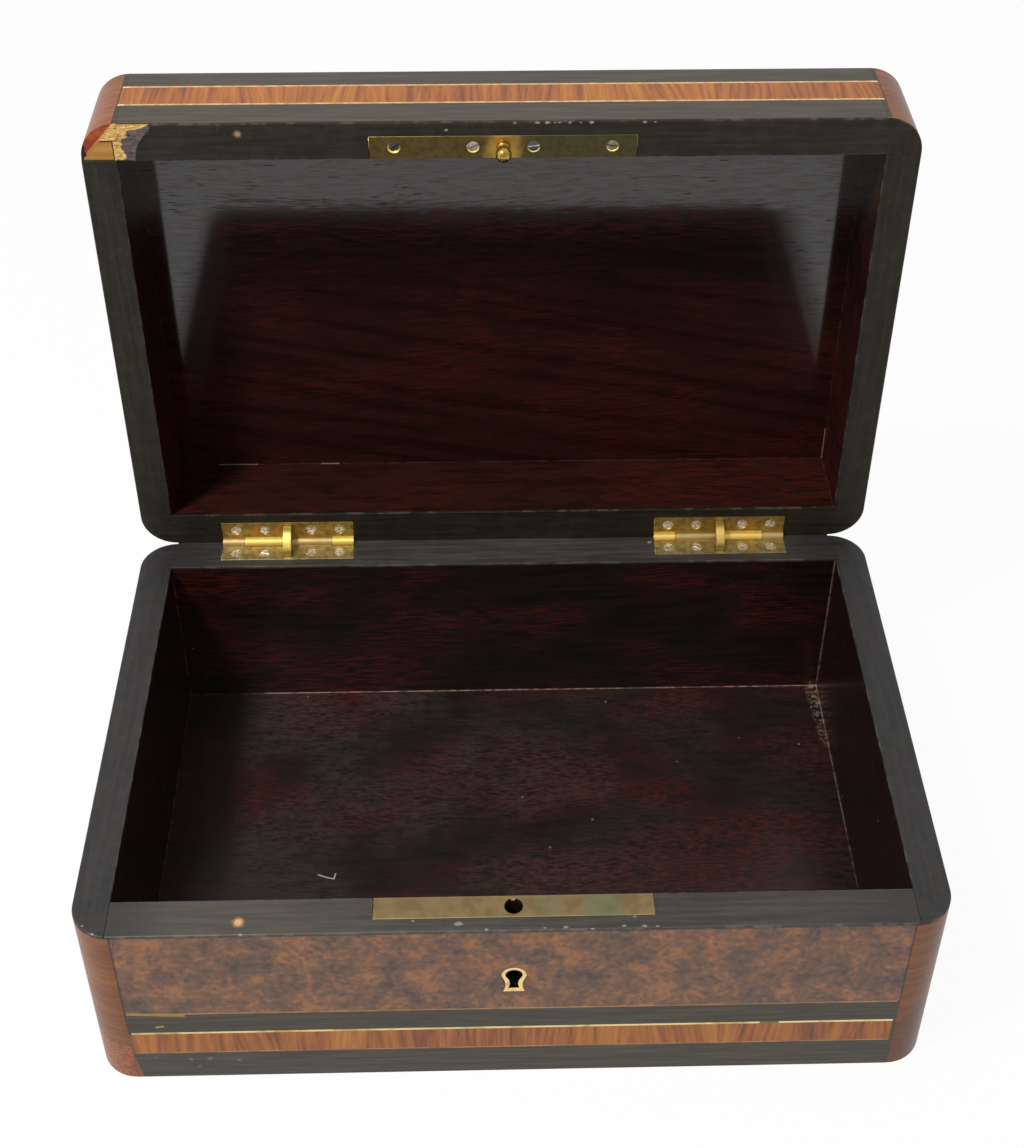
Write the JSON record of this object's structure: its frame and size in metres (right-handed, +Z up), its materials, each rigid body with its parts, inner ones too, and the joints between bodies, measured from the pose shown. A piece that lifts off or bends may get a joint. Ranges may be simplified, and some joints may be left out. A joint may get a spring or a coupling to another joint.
{
  "type": "glove box",
  "caption": "Low veneered wooden box with rounded corners, a hinged lid held open at a right angle by stop hinges, and a front lock with a stud catch.",
  "frame": {"origin": "centre of the case's underside, on the surface that the box stands on", "axes": "+Z up, +X along the long side to the right as seen from the keyhole, -Y towards the keyhole"},
  "size_m": [0.27, 0.212, 0.2515],
  "materials": {
    "steel": "worn screw steel, slightly tarnished",
    "brass": "aged brass, rubbed bright on the barrels",
    "brass_line": "fine inlaid brass, dull with age",
    "burr": "burr veneer, French polished",
    "kingwood": "kingwood crossbanding, French polished",
    "corner_kingwood": "solid kingwood, French polished",
    "rosewood": "rosewood lining, high French polish",
    "ebonised": "ebonised fruitwood, satin, lightly rubbed",
    "bottom_wood": "stained softwood, unpolished",
    "carcass_wood": "bare softwood"
  },
  "bodies": {
    "case": {"case_back_lining": "rosewood", "case_back_rim": "ebonised", "case_back_veneer": "ebonised", "case_back_wall": "carcass_wood", "case_bottom_board": "bottom_wood", "case_brass_lines": "brass_line", "case_burr_panels": "burr", "case_corner_blocks": "corner_kingwood", "case_crossbands": "kingwood", "case_ebony_bands": "ebonised", "case_floor_lining": "rosewood", "case_front_lining": "rosewood", "case_front_rim": "ebonised", "case_front_wall": "carcass_wood", "case_hinge_screws": "steel", "case_left_wall": "carcass_wood", "case_right_wall": "carcass_wood", "case_side_linings": "rosewood", "case_side_rims": "ebonised", "hinge_pins": "steel", "keyhole_escutcheon": "brass", "left_hinge_case_leaf": "brass", "lock_housing": "brass", "lock_pins": "steel", "lock_plate": "brass", "lock_screws": "steel", "lock_spring": "steel", "right_hinge_case_leaf": "brass"},
    "lid": {"catch_plate": "brass", "catch_screws": "steel", "catch_stud": "brass", "left_hinge_lid_leaf": "brass", "lid_back_lining": "rosewood", "lid_back_rim": "ebonised", "lid_back_veneer": "ebonised", "lid_back_wall": "carcass_wood", "lid_brass_lines": "brass_line", "lid_ceiling_lining": "rosewood", "lid_corner_blocks": "corner_kingwood", "lid_crossbands": "kingwood", "lid_ebony_bands": "ebonised", "lid_front_lining": "rosewood", "lid_front_rim": "ebonised", "lid_front_wall": "carcass_wood", "lid_hinge_screws": "steel", "lid_left_wall": "carcass_wood", "lid_right_wall": "carcass_wood", "lid_side_linings": "rosewood", "lid_side_rims": "ebonised", "lid_top_board": "carcass_wood", "lid_top_border": "ebonised", "lid_top_burr_panel": "burr", "lid_top_crossband": "kingwood", "right_hinge_lid_leaf": "brass"},
    "left_strap": {"left_stop_strap": "brass"},
    "right_strap": {"right_stop_strap": "brass"},
    "bolt": {"lock_bolt": "brass"}
  },
  "joints": [
    {"name": "lid_hinge", "type": "hinge", "parent": "case", "child": "lid", "pos_m": [0, 0.0885, 0.0745], "axis": [1, 0, 0], "range_deg": [0, 90]},
    {"name": "left_strap_swing", "type": "hinge", "parent": "case", "child": "left_strap", "pos_m": [-0.081, 0.0885, 0.0745], "axis": [1, 0, 0], "range_deg": [0, 45]},
    {"name": "right_strap_swing", "type": "hinge", "parent": "case", "child": "right_strap", "pos_m": [0.081, 0.0885, 0.0745], "axis": [1, 0, 0], "range_deg": [0, 45]},
    {"name": "bolt_throw", "type": "slide", "parent": "case", "child": "bolt", "axis": [-1, 0, 0], "range_m": [0, 0.006]}
  ],
  "couplings": [
    {"joint": "left_strap_swing", "follows": "lid_hinge", "ratio": 0.5},
    {"joint": "right_strap_swing", "follows": "lid_hinge", "ratio": 0.5}
  ]
}
